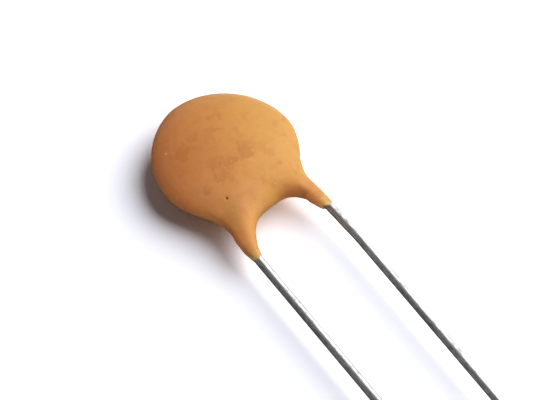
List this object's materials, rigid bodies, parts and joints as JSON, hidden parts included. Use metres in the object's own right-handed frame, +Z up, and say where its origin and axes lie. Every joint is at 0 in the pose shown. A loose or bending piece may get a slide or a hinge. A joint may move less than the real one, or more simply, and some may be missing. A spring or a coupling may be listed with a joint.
{
  "type": "ceramic disc capacitor",
  "caption": "Dipped ceramic disc capacitor with a round lens-shaped tan body, tapered coated legs and parallel tinned wire leads.",
  "frame": {"origin": "midway between the two lead axes, where they enter a circuit board, 2.5 mm below the tip of the longer coated leg", "axes": "-Y along the leads towards their cut ends, +Z through the thickness of the body, out of the face that the left lead is soldered to; the part lies flat with +Z up"},
  "size_m": [0.0077, 0.0349, 0.0028],
  "materials": {
    "dipped_resin": "satin tan phenolic dip coating, gently mottled and slightly pitted",
    "fired_ceramic": "matt fired barium titanate",
    "fired_silver": "matt fired silver",
    "solder": "smooth reflowed tin solder",
    "tinned_wire": "bright hot-tinned wire with faint drawing marks"
  },
  "bodies": {
    "root": {"coating": "dipped_resin", "ceramic_disc": "fired_ceramic", "electrode_front": "fired_silver", "electrode_back": "fired_silver", "solder_front": "solder", "solder_back": "solder", "lead_left": "tinned_wire", "lead_right": "tinned_wire"}
  },
  "joints": []
}
